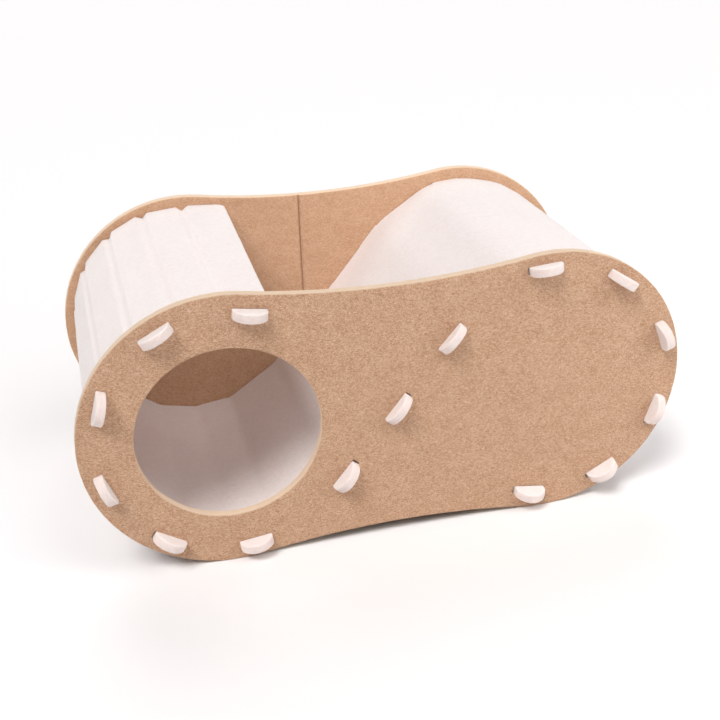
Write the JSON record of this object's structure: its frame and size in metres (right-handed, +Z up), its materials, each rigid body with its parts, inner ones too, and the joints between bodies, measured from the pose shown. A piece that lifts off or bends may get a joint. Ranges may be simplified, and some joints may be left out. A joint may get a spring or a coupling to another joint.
{
  "type": "felt cat tunnel",
  "caption": "Figure-eight felt cat tunnel: flat side panels, a round way in, and a wide felt strip bent into an S between them, held by tabs in slots.",
  "frame": {"origin": "on the floor, under the middle of the tunnel", "axes": "+X along the length, away from the lobe with the round hole; +Y from the front panel, which has the hole, to the back one; +Z up"},
  "size_m": [0.642, 0.358, 0.2995],
  "materials": {
    "panel_felt": "matt camel needle-punched felt",
    "strip_felt": "matt off-white needle-punched felt"
  },
  "bodies": {
    "root": {"front_panel": "panel_felt", "back_panel": "panel_felt", "strip": "strip_felt"}
  },
  "joints": []
}
